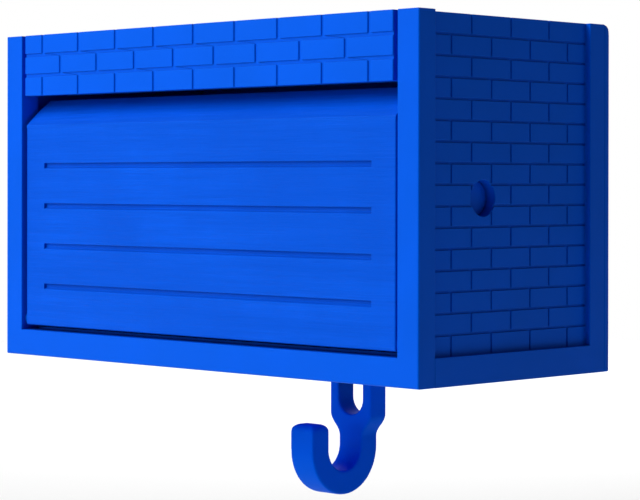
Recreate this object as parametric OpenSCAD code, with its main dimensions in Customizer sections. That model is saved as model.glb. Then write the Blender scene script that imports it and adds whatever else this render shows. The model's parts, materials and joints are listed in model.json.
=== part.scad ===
/* [Box] */
// Overall width across both side panels
box_w = 400; // [360:1:480]
// Overall depth, front face to the wall face
box_d = 186; // [175:1:240]
// Overall height of the front frame
box_h = 228; // [222:1:300]
// How far the front frame stands above the panels behind it
frame_rise = 1; // [0:0.25:2]

/* [Front frame] */
// Width of each front post
post_w = 17.5; // [15:0.5:22]
// Depth of the front frame, front to back
frame_d = 15; // [15:0.5:18]
// Height of the bottom rail
rail_h = 18; // [16:0.5:19]
// Width of the ledge behind the door that it closes against
stop_w = 10.5; // [9.5:0.5:12]
// Fillet along the outer edges of the frame
frame_r = 1.2; // [0.6:0.1:2]

/* [Panels] */
// Thickness of the side panels at their strips
side_t = 10; // [9:0.5:12]
// How far the side brick fields lie below the strips
side_recess = 4; // [2.5:0.25:4.5]
// Width of the strip at the back of each side panel
back_strip = 15; // [12:0.5:18]
// Thickness of the back plate
back_t = 5; // [4:0.5:6]
// Thickness of the roof panel
roof_t = 4; // [3:0.5:5]
// Thickness of the floor pan
floor_t = 3; // [2.5:0.5:4]
// Height of the floor pan's underside above the rail's underside
floor_h = 16.5; // [15:0.5:17.5]
// Fillet where the roof meets the back
back_r = 6; // [3:0.5:8]

/* [Bricks] */
// Height of the brick faces above the mortar
brick_relief = 1; // [0.6:0.1:1.5]
// Width of the mortar joints on the header
header_joint = 2.4; // [1.6:0.1:3]
// Width of the mortar joints on the sides
side_joint = 1.6; // [1.2:0.1:2.4]
// Bricks in a full course of the header
header_bricks = 9; // [6:1:11]
// Courses on the header
header_courses = 3; // [2:1:4]
// Bricks in a full course of a side
side_bricks = 4; // [3:1:6]
// Courses on a side
side_courses = 16; // [12:1:18]

/* [Letter slot and header] */
// Height of the header panel
header_h = 43; // [38:0.5:48]
// Clear height of the letter slot at the front
slot_h = 21; // [19:0.5:26]
// Width of the channel between the header's bricks and the posts
header_channel = 3.7; // [3:0.1:5]
// Depth of that channel
channel_d = 4; // [3:0.5:5]
// Thickness of the header's base plate
header_t = 4; // [3:0.5:5]

/* [Door] */
// How far the door's face lies behind the front frame
door_recess = 2; // [1.5:0.25:2.5]
// Width of the gap around the door's face
door_gap = 3; // [2:0.25:4]
// Gap between the rail and the door's lower edge
door_foot_gap = 3.5; // [3.25:0.25:4]
// Depth of the raised face over the door's base plate
door_face_t = 4; // [3.5:0.25:4.5]
// Thickness of the door's base plate
door_base_t = 4; // [3.5:0.25:4]
// Fillet around the door's face
door_r = 1.2; // [0.6:0.1:1.6]
// Number of decorative grooves
groove_n = 4; // [2:1:5]
// Height of a groove
groove_h = 4; // [3:0.25:5]
// Depth of a groove
groove_depth = 2; // [1:0.25:2.5]
// Plain margin at both ends of a groove, from the post
groove_margin = 23.2; // [16:0.2:30]
// Distance between grooves
groove_pitch = 28.5; // [24:0.5:30]
// Height of the lowest groove above the door's lower edge
groove_first = 28; // [24:0.5:34]
// Slope of the chute lip where it leaves the door's face
lip_angle = 45; // [40:1:48]
// How much the chute lip flattens towards its end
lip_turn = 10; // [5:1:14]
// Length of the chute lip along its curve
lip_len = 28.5; // [24:0.5:29]
// Thickness of the chute lip
lip_t = 4; // [3:0.5:4.5]

/* [Door hinge] */
// Diameter of the hinge pins
hinge_pin_d = 5; // [4:0.25:5]
// Outer diameter of the hinge bushes
hinge_bush_d = 8; // [7.5:0.25:9]
// Length of a hinge pin inside the door
hinge_in_door = 16; // [12:0.5:20]
// Length of a hinge pin inside its post
hinge_in_post = 10; // [8:0.5:12]
// Depth of the hinge axis behind the front face
hinge_d = 8; // [7.75:0.25:8]
// Height of the hinge axis above the rail
hinge_over_rail = 8; // [8:0.25:9]

/* [Rain flap] */
// Diameter of the rod the rain flap hangs on
flap_rod_d = 4; // [3:0.25:4.5]
// Thickness of the rain flap
flap_t = 2.5; // [2:0.25:3]
// Depth of the rod behind the front face
flap_d = 32; // [31:0.5:36]
// Height of the rod below the roof panel's top
flap_drop = 16; // [14:0.5:17]

/* [Push bolt] */
// Depth of the push bolt's axis behind the front face
bolt_at_d = 64; // [60:1:72]
// Height of the push bolt's axis above the underside
bolt_at_h = 114; // [100:1:130]
// Diameter of the round recess in the side panel
recess_d = 22.8; // [20:0.2:24]
// Depth of the button's face below the bricks
button_sunk = 7; // [5:0.5:8]
// Travel of the push bolt
bolt_travel = 6; // [5:0.5:6.5]
// Diameter of the bolt's nose
nose_d = 8; // [6:0.5:9]
// Wire diameter of the bolt's spring
spring_wire = 0.8; // [0.5:0.1:0.8]
// Turns of the bolt's spring
spring_turns = 4; // [3:1:5]

/* [Hook] */
// Thickness of the hook's bar, front to back
hook_t = 16.4; // [12:0.2:17]
// Width of the hook's shank
shank_w = 22; // [16:0.2:23]
// Width of the hook's eye
eye_w = 39.4; // [34:0.2:40]
// Width of the slot in the eye
eye_slot_w = 23.2; // [20:0.2:26]
// Clear width of the hook's throat
throat = 32; // [28:0.2:36]
// Depth of the hook's front face behind the box's front face
hook_at_d = 149.7; // [130:0.1:150]
// Height of the lower end of the slot below the box
slot_low = 40.5; // [38:0.5:48]
// Height over which the eye narrows to the shank
flare_h = 15; // [12:0.5:20]
// Height of the bend's centre below the box
bend_low = 62; // [60:0.5:72]
// Height of the hook's tip below the box
tip_low = 44; // [42:0.5:52]
// Fillet at the hook's tip
tip_r = 5; // [2:0.5:6]

/* [Hook bracket] */
// Diameter of the bolt that carries the hook
hook_bolt_d = 8; // [6:0.5:8]
// Thickness of the steel of the bracket
bracket_t = 2.5; // [2:0.25:3]
// Side play of the hook in its bracket
hook_play = 0.8; // [0.5:0.1:1.2]
// Length of the bracket's web
web_l = 92; // [84:1:110]

/* [Wall holes] */
// Diameter of the wall holes
wall_hole_d = 6.5; // [5:0.5:8]
// Distance between the wall holes across
wall_span_x = 300; // [260:5:320]
// Distance between the wall holes up and down
wall_span_z = 140; // [120:5:160]

/* [Fasteners] */
// Diameter of the case screws
screw_d = 4; // [3.5:0.25:4]
// Diameter of the small screws
small_screw_d = 3; // [2.5:0.25:3]
// Diameter of the catch magnets
magnet_d = 8; // [6:0.5:8]

/* [Fits] */
// Gap between pieces that are fixed together
seat_gap = 0.3; // [0.2:0.05:0.4]
// Radial play of a shaft that turns
run_gap = 0.05; // [0.03:0.01:0.1]
// Radial play of a pin, bush or screw that stays put
fixed_gap = 0.05; // [0.03:0.01:0.1]

/* [Hidden] */
$fn = 64;
eps = 0.01;

BLUE = [0.0, 0.3, 0.92];
STEEL = [0.72, 0.74, 0.76];
ZINC = [0.6, 0.62, 0.65];
NYLON = [0.93, 0.93, 0.9];
RUBBER = [0.08, 0.08, 0.09];
MAGNET = [0.3, 0.3, 0.32];

// Levels that several pieces share: depths run back from the front face, heights up from the underside
panel_h = box_h - frame_rise;
open_x = box_w / 2 - post_w;
inner_x = box_w / 2 - side_t;
face_x = box_w / 2 - side_recess;
mortar_x = face_x - brick_relief;
back_d0 = box_d - back_t;
roof_h0 = panel_h - roof_t;
floor_top = floor_h + floor_t;
header_h0 = box_h - header_h;
header_back = channel_d + header_t;

// Ledges and flanges inside the case
ledge_w = 12;
ledge_t = 4;
sill_t = 8;
ledge_drop = 8;
ledge_h0 = roof_h0 - ledge_drop - ledge_t;
flange_t = 4;
flange_x = box_w / 2 - 24;
flange_h1 = header_h0 - slot_h - 2;
screw_rows = [0.17, 0.5, 0.83];
rib_t = 12;
ledge_x = inner_x - ledge_w / 2;
pan_half = inner_x - seat_gap;

// Door levels
door_h0 = rail_h + door_foot_gap;
door_h1 = header_h0 - slot_h;
door_back = door_recess + door_face_t + door_base_t;
face_half = open_x - door_gap;
base_half = open_x - seat_gap;
stop_d = door_back + 0.4;
stop_x = open_x - stop_w;
hinge_h = rail_h + hinge_over_rail;
hinge_barrel_r = 5;
pin_x = base_half - hinge_in_door;
stop_h0 = hinge_h + 10;
rib_x = stop_x * 0.98;
stop_h1 = door_h1 - 6;
catch_x = stop_x + stop_w / 2 - 0.5;
catch_h = stop_h1 - 9;
bumper_h = stop_h0 + 24;
bumper_r = 3.5;
bumper_t = 2.9;

// Rain flap levels
flap_h = panel_h - flap_drop;
ear_t = 4;
ear_w = 6;

// Push bolt levels, measured along x from the box's middle
boss_t = 10;
boss_x = inner_x - boss_t;
boss_r = 20;
button_x = face_x - button_sunk;
button_flange_t = 3;
flange_face_x = boss_x - 0.1;
housing_depth = 11 + bolt_travel;
housing_end_t = 3;
housing_x = boss_x - housing_depth;
housing_cavity_r = 14;
spring_seat_x = housing_x + housing_end_t;
nose_x = housing_x - 0.5;
strike_t = 3;
strike_play = 1;
strike_gap = bolt_travel - strike_t - 1;
strike_x1 = nose_x - strike_gap;
strike_x0 = strike_x1 - strike_t;
housing_screw_r = 17;

// Hook levels
eye_r = eye_w / 2;
web_h0 = floor_h - bracket_t;
hook_axis_h = web_h0 - eye_r - 0.9;
hook_back_d = hook_at_d + hook_t;
ear_d0 = hook_at_d - hook_play;
ear_d1 = hook_back_d + hook_play;
ear_r = 11;
bend_r = throat / 2;

// Screw proportions
head_r = screw_d * 0.95;
head_h = screw_d * 0.6;
small_head_r = small_screw_d * 0.95;
small_head_h = small_screw_d * 0.65;

function y_at(d) = d - box_d;
function z_at(h) = h - box_h / 2;

// A box between two places across, two depths and two heights
module block(x0, x1, d0, d1, h0, h1) {
    translate([x0, y_at(d0), z_at(h0)]) cube([x1 - x0, d1 - d0, h1 - h0]);
}

// An outline in depth and height, drawn out across
module prism_x(x0, x1) {
    translate([x0, y_at(0), z_at(0)]) rotate([90, 0, 90]) linear_extrude(x1 - x0) children();
}

// An outline in x and height, drawn out in depth
module prism_y(d0, d1) {
    translate([0, y_at(d1), z_at(0)]) rotate([90, 0, 0]) linear_extrude(d1 - d0) children();
}

// Round bars along the three axes
module rod_x(x0, x1, d, h, r) {
    translate([x0, y_at(d), z_at(h)]) rotate([0, 90, 0]) cylinder(h = x1 - x0, r = r);
}
module rod_y(x, h, d0, d1, r) {
    translate([x, y_at(d1), z_at(h)]) rotate([90, 0, 0]) cylinder(h = d1 - d0, r = r);
}
module rod_z(x, d, h0, h1, r) {
    translate([x, y_at(d), z_at(h0)]) cylinder(h = h1 - h0, r = r);
}

// Both mirror images of a piece
module both() {
    children();
    mirror([1, 0, 0]) children();
}

// The corner that a fillet takes away, from a corner at the origin with the piece towards -x and -y
function fillet_steps(r) = 4 + floor(r);
module fillet_2d(r) {
    n = fillet_steps(r);
    polygon(concat(
        [[1, 1], [-r, 1]],
        [for (k = [0 : n]) [r * (sin(90 * k / n) - 1), r * (cos(90 * k / n) - 1)]],
        [[1, -r]]
    ));
}

// Running bond: courses of bricks between mortar joints, starting at the top with a full or a half brick
module bricks_2d(w, h, across, courses, joint, top_half) {
    p = w / across;
    q = h / courses;
    for (c = [0 : courses - 1]) {
        half = (c + (top_half ? 1 : 0)) % 2;
        y1 = h - c * q - (c > 0 ? joint / 2 : 0);
        y0 = h - (c + 1) * q + (c < courses - 1 ? joint / 2 : 0);
        for (k = [0 : across - 1 + half]) {
            left = max(0, (k - half / 2) * p);
            right = min(w, (k + 1 - half / 2) * p);
            x0 = left > eps ? left + joint / 2 : 0;
            x1 = right < w - eps ? right - joint / 2 : w;
            translate([x0, y0]) square([x1 - x0, y1 - y0]);
        }
    }
}

// A cross-head screw: its head's underside at the origin, its shank up +z
// The cross is slot_l long and slot_b wide, in shares of the head's radius
slot_l = 1.2;
slot_b = 0.26;
module screw(l, d, hr, hh) {
    difference() {
        union() {
            translate([0, 0, -eps]) cylinder(h = l + eps, d = d);
            translate([0, 0, -hh]) cylinder(h = hh, r = hr);
        }
        for (a = [0, 90]) {
            rotate([0, 0, a]) translate([-hr * slot_l / 2, -hr * slot_b / 2, -hh - 1])
                cube([hr * slot_l, hr * slot_b, 1 + hh * 0.5]);
        }
    }
}
module case_screw(l) { screw(l, screw_d, head_r, head_h); }
module small_screw(l) { screw(l, small_screw_d, small_head_r, small_head_h); }

// Places of the repeated screws
frame_screw_hs = [for (k = [0.12, 0.5, 0.88]) stop_h0 + k * (flange_h1 - stop_h0)];
ledge_ds = [for (k = screw_rows) frame_d + k * (back_d0 - frame_d)];
back_screw_hs = [20, panel_h / 2, panel_h - 20];
back_screw_x = inner_x + 3;
header_screw_xs = [for (k = [-1.5 : 1 : 1.5]) k * open_x * 0.55];
header_screw_d = header_back + rib_t / 2;
screw_hole_r = screw_d / 2 + fixed_gap;
// The frame's screws stay clear of the door's opening, however thick the side is
frame_screw_x = max(inner_x - 4, open_x + screw_hole_r + 0.1);
small_hole_r = small_screw_d / 2 + fixed_gap;
frame_screw_l = 12;
case_screw_l = 10;
back_screw_l = 16;

// ---- Case ----

// The U-shaped front: two posts and the bottom rail, with the ledge that the door closes against
module front_frame() {
    color(BLUE) difference() {
        union() {
            both() block(open_x, box_w / 2, 0, frame_d, 0, box_h);
            block(-open_x - eps, open_x + eps, 0, frame_d, 0, rail_h);
            both() block(stop_x, open_x + eps, stop_d, frame_d, stop_h0, stop_h1);
        }
        // Fillets on the outer upright edges and along the top and bottom of the face
        both() translate([box_w / 2, y_at(0), z_at(-1)]) mirror([0, 1, 0])
            linear_extrude(box_h + 2) fillet_2d(frame_r);
        both() translate([open_x, y_at(0), z_at(rail_h)]) mirror([1, 0, 0]) mirror([0, 1, 0])
            linear_extrude(box_h) fillet_2d(frame_r / 2);
        prism_x(-box_w / 2 - 1, box_w / 2 + 1) mirror([1, 0, 0]) mirror([0, 1, 0]) fillet_2d(frame_r);
        prism_x(-open_x, open_x) translate([0, rail_h]) mirror([1, 0, 0]) fillet_2d(frame_r / 2);
        // Seats of the hinge bushes, magnets and bumpers
        both() rod_x(open_x - 1, open_x + hinge_in_post, hinge_d, hinge_h, hinge_bush_d / 2 + fixed_gap);
        both() rod_y(catch_x, catch_h, stop_d - 1, stop_d + 3 + fixed_gap, magnet_d / 2 + fixed_gap);
        both() rod_y(catch_x, bumper_h, stop_d - 1, door_back + bumper_t + fixed_gap, bumper_r + fixed_gap);
        // Pilot holes for the screws that come through the side panels' flanges
        both() for (h = frame_screw_hs)
            rod_y(frame_screw_x, h, frame_d - (frame_screw_l - flange_t) - 1, frame_d + 1, screw_hole_r);
    }
}

// The brick band over the letter slot, with a flange that the roof panel is screwed to
module header_panel() {
    field_half = open_x - header_channel;
    color(BLUE) difference() {
        union() {
            block(-open_x + seat_gap, open_x - seat_gap, channel_d, header_back, header_h0, box_h);
            block(-field_half, field_half, brick_relief, channel_d + eps, header_h0, box_h);
            prism_y(0, brick_relief + eps) translate([-field_half, header_h0])
                bricks_2d(2 * field_half, header_h, header_bricks, header_courses, header_joint, true);
            block(-rib_x, rib_x, header_back - eps, header_back + rib_t, ledge_h0, ledge_h0 + ledge_t);
        }
        for (x = header_screw_xs)
            rod_z(x, header_screw_d, ledge_h0 - 1, ledge_h0 + ledge_t + 1, screw_hole_r);
    }
}

module header_screws() {
    color(ZINC) for (x = header_screw_xs)
        translate([x, y_at(header_screw_d), z_at(ledge_h0)]) case_screw(case_screw_l);
}

// A side panel: brick field, back strip, bottom rail, inner ledges and front flange
module side_panel_blank() {
    field_d = back_d0 - back_strip - frame_d;
    difference() {
        union() {
            block(inner_x, mortar_x, frame_d, back_d0, 0, panel_h);
            block(inner_x, box_w / 2, back_d0 - back_strip, back_d0, 0, panel_h);
            block(inner_x, box_w / 2, frame_d, back_d0, 0, rail_h);
            prism_x(mortar_x - eps, face_x) translate([frame_d, rail_h])
                bricks_2d(field_d, panel_h - rail_h, side_bricks, side_courses, side_joint, false);
            block(flange_x, inner_x + eps, frame_d, frame_d + flange_t, stop_h0, flange_h1);
            for (h = [[ledge_h0, ledge_h0 + ledge_t], [floor_h - sill_t, floor_h]])
                block(inner_x - ledge_w, inner_x + eps, frame_d + flange_t, back_d0, h[0], h[1]);
        }
        for (h = frame_screw_hs) {
            rod_y(frame_screw_x, h, frame_d - 1, frame_d + flange_t + 1, screw_hole_r);
            rod_y(frame_screw_x, h, frame_d + flange_t, frame_d + flange_t + head_h + 0.2, head_r + fixed_gap);
        }
        for (d = ledge_ds) {
            rod_z(ledge_x, d, ledge_h0 - 1, ledge_h0 + ledge_t + 1, screw_hole_r);
            rod_z(ledge_x, d, floor_h - sill_t + 0.5, floor_h + 1, screw_hole_r);
        }
        for (h = back_screw_hs) rod_y(back_screw_x, h, back_d0 - back_screw_l, back_d0 + 1, small_hole_r);
        prism_x(inner_x - 1, box_w / 2 + 1) translate([box_d, panel_h]) fillet_2d(back_r);
        translate([box_w / 2, y_at(back_d0 - back_strip), z_at(rail_h)]) mirror([0, 1, 0])
            linear_extrude(box_h) fillet_2d(frame_r / 2);
    }
}

module side_panel_left() {
    color(BLUE) mirror([1, 0, 0]) side_panel_blank();
}

// The right panel also carries the guide of the push bolt
module side_panel_right() {
    color(BLUE) difference() {
        union() {
            side_panel_blank();
            rod_x(boss_x, inner_x + eps, bolt_at_d, bolt_at_h, boss_r);
        }
        rod_x(boss_x - 1, box_w / 2 + 1, bolt_at_d, bolt_at_h, recess_d / 2);
        for (s = [-1, 1])
            rod_x(boss_x - 1, boss_x + 8, bolt_at_d, bolt_at_h + s * housing_screw_r, small_hole_r);
    }
}

module frame_screws() {
    color(ZINC) both() for (h = frame_screw_hs)
        translate([frame_screw_x, y_at(frame_d + flange_t), z_at(h)]) rotate([90, 0, 0])
            case_screw(frame_screw_l);
}

// The flat back with the four wall holes
module back_plate() {
    color(BLUE) difference() {
        block(-box_w / 2, box_w / 2, back_d0, box_d, 0, panel_h);
        both() for (s = [-1, 1])
            rod_y(wall_span_x / 2, box_h / 2 + s * wall_span_z / 2, back_d0 - 1, box_d + 1, wall_hole_d / 2);
        both() for (h = back_screw_hs) {
            rod_y(back_screw_x, h, back_d0 - 1, box_d + 1, small_hole_r);
            rod_y(back_screw_x, h, box_d - small_head_h - 0.2, box_d + 1, small_head_r + fixed_gap);
        }
        prism_x(-box_w / 2 - 1, box_w / 2 + 1) translate([box_d, panel_h]) fillet_2d(back_r);
    }
}

module back_screws() {
    color(ZINC) both() for (h = back_screw_hs)
        translate([back_screw_x, y_at(box_d - small_head_h - 0.2), z_at(h)]) rotate([90, 0, 0])
            small_screw(back_screw_l);
}

// The roof lies between the side panels, on their upper ledges, and carries the rain flap's ears
module roof_panel() {
    color(BLUE) difference() {
        union() {
            block(-pan_half, pan_half, frame_d + seat_gap, back_d0 - seat_gap, roof_h0, panel_h);
            block(-base_half, base_half, header_back, frame_d + 1, roof_h0, panel_h);
            block(-rib_x, rib_x, header_back, header_back + rib_t, ledge_h0 + ledge_t, roof_h0 + eps);
            both() for (d = ledge_ds) rod_z(ledge_x, d, ledge_h0 + ledge_t, roof_h0 + eps, 5);
            both() block(stop_x, stop_x + ear_t, flap_d - ear_w, flap_d + ear_w, flap_h, roof_h0 + eps);
            both() rod_x(stop_x, stop_x + ear_t, flap_d, flap_h, ear_w);
        }
        for (x = header_screw_xs)
            rod_z(x, header_screw_d, ledge_h0, ledge_h0 + case_screw_l + 0.5, screw_hole_r);
        both() for (d = ledge_ds) rod_z(ledge_x, d, ledge_h0, ledge_h0 + case_screw_l + 0.5, screw_hole_r);
        both() rod_x(stop_x - 1, stop_x + ear_t + 1, flap_d, flap_h, flap_rod_d / 2 + fixed_gap);
    }
}

module roof_screws() {
    color(ZINC) both() for (d = ledge_ds)
        translate([ledge_x, y_at(d), z_at(ledge_h0)]) case_screw(case_screw_l);
}

// The floor pan lies on the lower ledges; its slots let rain out
drain_l = 16;
drain_b = 3;
drain_d = frame_d + 14;
drain_xs = [90, 114, 138];
module floor_pan() {
    color(BLUE) difference() {
        block(-pan_half, pan_half, frame_d + seat_gap, back_d0 - seat_gap, floor_h, floor_top);
        both() for (d = ledge_ds) rod_z(ledge_x, d, floor_h - 1, floor_top + 1, screw_hole_r);
        both() for (x = drain_xs)
            block(x, x + drain_l, drain_d, drain_d + drain_b, floor_h - 1, floor_top + 1);
        for (x = bracket_screw_xs, d = bracket_screw_ds)
            rod_z(x, d, floor_h - 1, floor_top + 1, screw_hole_r);
    }
}

module floor_screws() {
    color(ZINC) both() for (d = ledge_ds)
        translate([ledge_x, y_at(d), z_at(floor_top)]) mirror([0, 0, 1]) case_screw(case_screw_l - 0.5);
}

// ---- Rain flap ----

module rain_flap() {
    half = stop_x - 2;
    color(BLUE) difference() {
        union() {
            rod_x(-half, half, flap_d, flap_h, flap_rod_d / 2 + flap_t);
            block(-half, half, flap_d - flap_t / 2, flap_d + flap_t / 2, header_h0 + 1, flap_h);
        }
        rod_x(-half - 1, half + 1, flap_d, flap_h, flap_rod_d / 2 + run_gap);
    }
}

module flap_rod() {
    color(STEEL) rod_x(-stop_x - ear_t, stop_x + ear_t, flap_d, flap_h, flap_rod_d / 2);
}

// ---- Door ----

// A point of the chute lip: how far along its turn, and how deep under its upper face
lip_radius = lip_len / (lip_turn * PI / 180);
function lip_pt(turn, deep) = let (a = lip_angle - turn, r = lip_radius - deep)
    [door_recess + lip_radius * sin(lip_angle) - r * sin(a),
     door_h1 - lip_radius * cos(lip_angle) + r * cos(a)];
lip_steps = 8;

module lip_outline() {
    polygon(concat(
        [for (k = [0 : lip_steps]) lip_pt(lip_turn * k / lip_steps, 0)],
        [for (k = [lip_steps : -1 : 0]) lip_pt(lip_turn * k / lip_steps, lip_t)],
        [[door_back, door_h1 - 2 * lip_t], [door_recess, door_h1 - 2 * lip_t]]
    ));
}

module groove_outline(h) {
    polygon([[door_recess - 1, h + groove_h / 2], [door_recess + groove_depth, h + groove_h / 2],
             [door_recess + groove_depth, h - groove_h / 2 + 1], [door_recess, h - groove_h / 2],
             [door_recess - 1, h - groove_h / 2]]);
}

module door_panel() {
    groove_half = open_x - groove_margin;
    color(BLUE) difference() {
        union() {
            block(-face_half, face_half, door_recess, door_back, door_h0, door_h1 - lip_t);
            block(-base_half, base_half, door_recess + door_face_t, door_back, door_h0, stop_h1);
            prism_x(-face_half, face_half) lip_outline();
            both() rod_x(pin_x, base_half, hinge_d, hinge_h, hinge_barrel_r);
        }
        for (k = [0 : groove_n - 1])
            prism_x(-groove_half, groove_half) groove_outline(door_h0 + groove_first + k * groove_pitch);
        // Fillets down both upright edges and along the lower edge of the face
        both() translate([face_half, y_at(door_recess), z_at(door_h0 - 1)]) mirror([0, 1, 0])
            linear_extrude(door_h1 - door_h0 - 1) fillet_2d(door_r);
        prism_x(-open_x, open_x) translate([door_recess, door_h0]) mirror([1, 0, 0]) mirror([0, 1, 0])
            fillet_2d(door_r);
        both() rod_x(pin_x - 1, base_half + 1, hinge_d, hinge_h, hinge_pin_d / 2 + fixed_gap);
        both() rod_y(catch_x, catch_h, door_back - 2, door_back + 1, magnet_d / 2 + fixed_gap);
        for (h = strike_screw_hs)
            rod_y(strike_screw_x, h, door_back - strike_screw_l + strike_t, door_back + 1, small_hole_r);
    }
}

module hinge_pins() {
    color(STEEL) both() rod_x(pin_x, open_x + hinge_in_post - 0.5, hinge_d, hinge_h, hinge_pin_d / 2);
}

module hinge_bushes() {
    color(NYLON) both() difference() {
        rod_x(open_x, open_x + hinge_in_post, hinge_d, hinge_h, hinge_bush_d / 2);
        rod_x(open_x - 1, open_x + hinge_in_post + 1, hinge_d, hinge_h, hinge_pin_d / 2 + run_gap);
    }
}

module catch_magnets() {
    color(MAGNET) both() rod_y(catch_x, catch_h, stop_d, stop_d + 3, magnet_d / 2);
}

module catch_plates() {
    color(STEEL) both() rod_y(catch_x, catch_h, door_back - 2, door_back, magnet_d / 2);
}

module door_bumpers() {
    color(RUBBER) both() rod_y(catch_x, bumper_h, door_back + 0.1, door_back + bumper_t, bumper_r);
}

// ---- Push bolt on the right side ----

strike_screw_x = strike_x0 - 10;
strike_screw_hs = [bolt_at_h - 7, bolt_at_h + 7];
strike_screw_l = 8;

// The arm on the door that the bolt's nose locks into
module bolt_strike() {
    color(ZINC) difference() {
        union() {
            prism_x(strike_x0, strike_x1) {
                translate([door_back, bolt_at_h - 12]) square([bolt_at_d - door_back, 24]);
                translate([bolt_at_d, bolt_at_h]) circle(r = 12);
            }
            block(strike_x0 - 17, strike_x1, door_back, door_back + strike_t, bolt_at_h - 12, bolt_at_h + 12);
        }
        rod_x(strike_x0 - 1, strike_x1 + 1, bolt_at_d, bolt_at_h, nose_d / 2 + strike_play);
        for (h = strike_screw_hs)
            rod_y(strike_screw_x, h, door_back - 1, door_back + strike_t + 1, small_hole_r);
    }
}

module strike_screws() {
    color(ZINC) for (h = strike_screw_hs)
        translate([strike_screw_x, y_at(door_back + strike_t), z_at(h)]) rotate([90, 0, 0])
            small_screw(strike_screw_l);
}

// Button, collar and nose turned in one piece
module push_bolt() {
    button_r = recess_d / 2 - seat_gap;
    collar_r = housing_cavity_r - 0.5;
    collar_z1 = flange_face_x - nose_x;
    collar_z0 = collar_z1 - button_flange_t;
    button_z = button_x - nose_x;
    color(BLUE) translate([nose_x, y_at(bolt_at_d), z_at(bolt_at_h)]) rotate([0, 90, 0]) rotate_extrude()
        polygon([
            [0, 0], [nose_d / 2 - 1, 0], [nose_d / 2, 1], [nose_d / 2, collar_z0], [collar_r, collar_z0],
            [collar_r, collar_z1], [button_r, collar_z1], [button_r, button_z - 0.6],
            [button_r - 0.6, button_z], [0, button_z]
        ]);
}

// The coil spring behind the button's collar, swept ring by ring along its helix
spring_r = nose_d / 2 + 4;
spring_l = flange_face_x - button_flange_t - spring_seat_x;
spring_sides = 8;
spring_rings = 18 * spring_turns + 1;
function spring_at(k, s) = let (
    t = k / (spring_rings - 1), a = 360 * spring_turns * t, b = 360 * s / spring_sides,
    r = spring_r + spring_wire / 2 * cos(b))
    [spring_wire / 2 * (1 + sin(b)) + 0.1 + t * (spring_l - spring_wire - 0.2), r * cos(a), r * sin(a)];

module bolt_spring() {
    n = spring_sides;
    last = (spring_rings - 1) * n;
    color(STEEL) translate([spring_seat_x, y_at(bolt_at_d), z_at(bolt_at_h)]) polyhedron(
        points = [for (k = [0 : spring_rings - 1], s = [0 : n - 1]) spring_at(k, s)],
        faces = concat(
            [[for (s = [0 : n - 1]) s]],
            [for (k = [0 : spring_rings - 2], s = [0 : n - 1])
                [k * n + s, (k + 1) * n + s, (k + 1) * n + (s + 1) % n, k * n + (s + 1) % n]],
            [[for (s = [n - 1 : -1 : 0]) last + s]]
        )
    );
}

// The cup that is screwed over the bolt's guide
module bolt_housing() {
    color(NYLON) difference() {
        rod_x(housing_x, boss_x, bolt_at_d, bolt_at_h, boss_r);
        rod_x(spring_seat_x, boss_x + 1, bolt_at_d, bolt_at_h, housing_cavity_r);
        rod_x(housing_x - 1, boss_x, bolt_at_d, bolt_at_h, nose_d / 2 + seat_gap);
        for (h = [bolt_at_h - housing_screw_r, bolt_at_h + housing_screw_r]) {
            rod_x(housing_x - 1, boss_x + 1, bolt_at_d, h, small_hole_r);
            rod_x(housing_x - 1, housing_x + small_head_h, bolt_at_d, h, small_head_r + fixed_gap);
        }
    }
}

module housing_screws() {
    color(ZINC) for (s = [-1, 1])
        translate([housing_x + small_head_h, y_at(bolt_at_d), z_at(bolt_at_h + s * housing_screw_r)])
            rotate([0, 90, 0]) small_screw(housing_depth - small_head_h + 7);
}

// ---- Hook ----

bracket_screw_xs = [-web_l / 2 + 9, web_l / 2 - 9];
bracket_screw_ds = [ear_d0 - bracket_t + 5, ear_d1 + bracket_t - 5];

// The U-shaped steel bracket under the floor pan
module hook_bracket() {
    color(ZINC) difference() {
        union() {
            block(-web_l / 2, web_l / 2, ear_d0 - bracket_t, ear_d1 + bracket_t, web_h0, floor_h);
            for (d = [ear_d0 - bracket_t, ear_d1]) {
                block(-ear_r, ear_r, d, d + bracket_t, hook_axis_h, web_h0 + eps);
                rod_y(0, hook_axis_h, d, d + bracket_t, ear_r);
            }
        }
        rod_y(0, hook_axis_h, ear_d0 - 10, ear_d1 + 10, hook_bolt_d / 2 + fixed_gap);
        for (x = bracket_screw_xs, d = bracket_screw_ds)
            rod_z(x, d, web_h0 - 1, floor_h + 1, screw_hole_r);
    }
}

module bracket_screws() {
    color(ZINC) for (x = bracket_screw_xs, d = bracket_screw_ds)
        translate([x, y_at(d), z_at(web_h0)]) case_screw(bracket_t + floor_t + small_nut_t + 1);
}

// Nuts of the bracket's screws, on the floor pan inside the case
small_nut_t = screw_d * 0.8;
module bracket_nuts() {
    color(ZINC) for (x = bracket_screw_xs, d = bracket_screw_ds) difference() {
        translate([x, y_at(d), z_at(floor_top)]) cylinder(h = small_nut_t, r = screw_d, $fn = 6);
        rod_z(x, d, floor_top - 1, floor_top + small_nut_t + 1, screw_hole_r);
    }
}

// The bush that the hook's eye turns on, clamped between the ears
module hook_bush() {
    color(NYLON) difference() {
        rod_y(0, hook_axis_h, ear_d0, ear_d1, eye_slot_w / 2 - run_gap);
        rod_y(0, hook_axis_h, ear_d0 - 1, ear_d1 + 1, hook_bolt_d / 2 + fixed_gap);
    }
}

washer_t = 1.6;
nut_t = hook_bolt_d * 0.7;
bolt_end_d = ear_d1 + bracket_t + washer_t + nut_t + 0.5;
bolt_head_d = ear_d0 - bracket_t - washer_t;

module hook_bolt() {
    color(STEEL) {
        rod_y(0, hook_axis_h, bolt_head_d - eps, bolt_end_d, hook_bolt_d / 2);
        translate([0, y_at(bolt_head_d), z_at(hook_axis_h)]) rotate([90, 0, 0])
            cylinder(h = hook_bolt_d * 0.65, r = hook_bolt_d * 0.92, $fn = 6);
    }
}

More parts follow.
